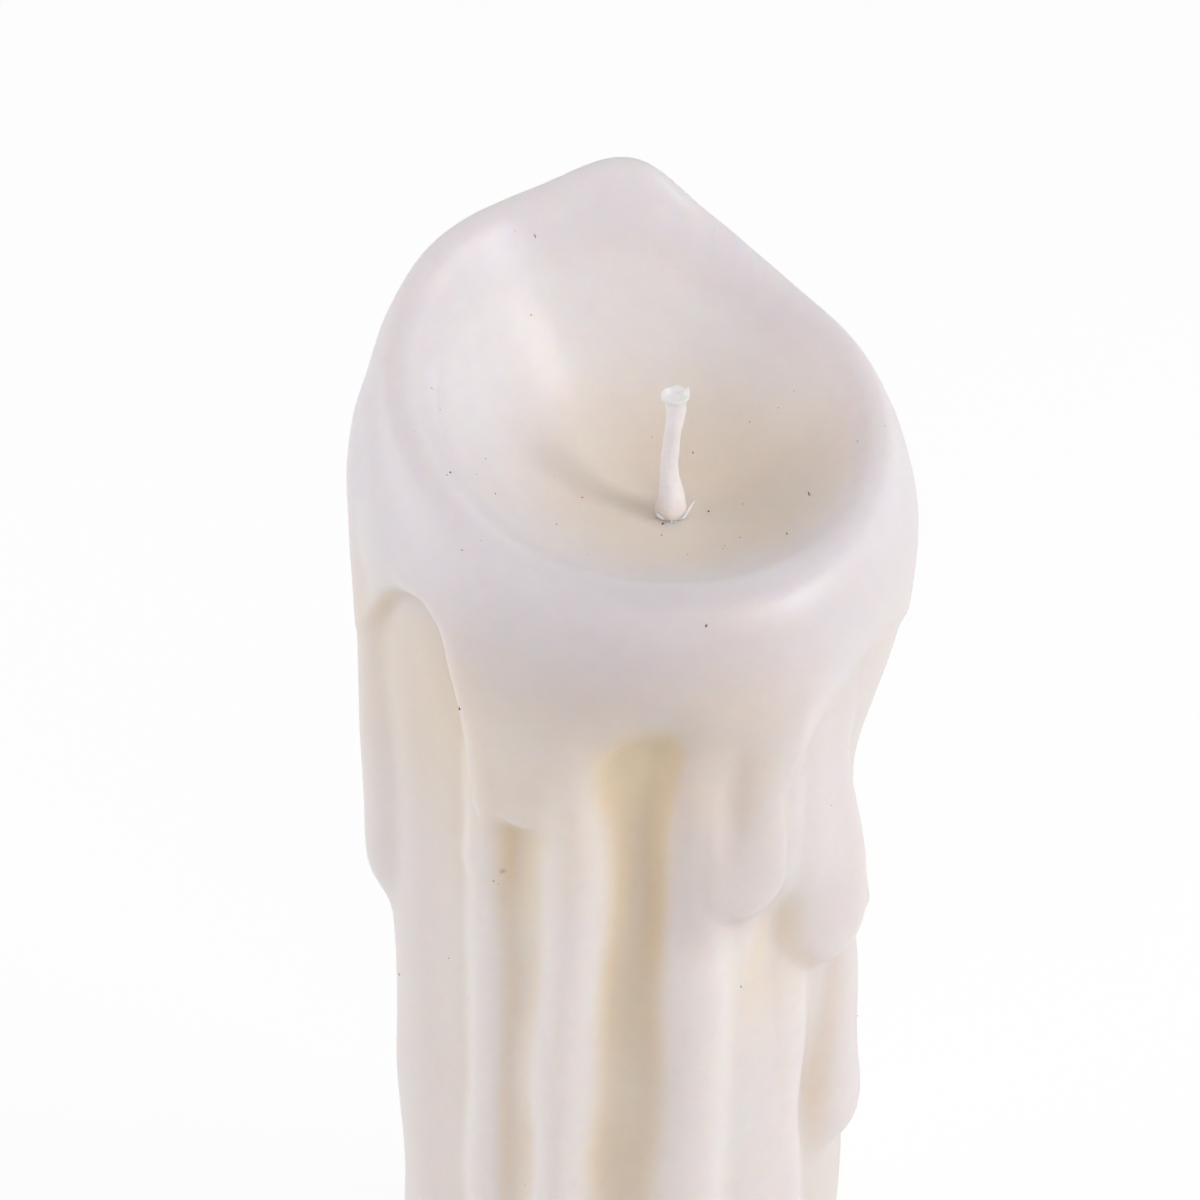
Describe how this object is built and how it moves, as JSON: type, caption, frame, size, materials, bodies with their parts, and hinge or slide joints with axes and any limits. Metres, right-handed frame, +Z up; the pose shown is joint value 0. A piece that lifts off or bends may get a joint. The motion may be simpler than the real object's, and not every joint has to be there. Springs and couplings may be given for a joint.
{
  "type": "melted pillar candle",
  "caption": "Thick pillar candle, melted down at a slant into an open bowl, with frozen runs of wax down its sides and a short bent wick.",
  "frame": {"origin": "centre of the pillar's axis on the flat base", "axes": "+Z up along the pillar, -Y towards the low front lip of the bowl, +X to the right seen from the front"},
  "size_m": [0.0598, 0.0586, 0.1492],
  "materials": {
    "wax": "satin ivory wax, slightly translucent",
    "wick": "waxed cotton braid, unburnt white"
  },
  "bodies": {
    "root": {"wax_body": "wax", "wick": "wick"}
  },
  "joints": []
}
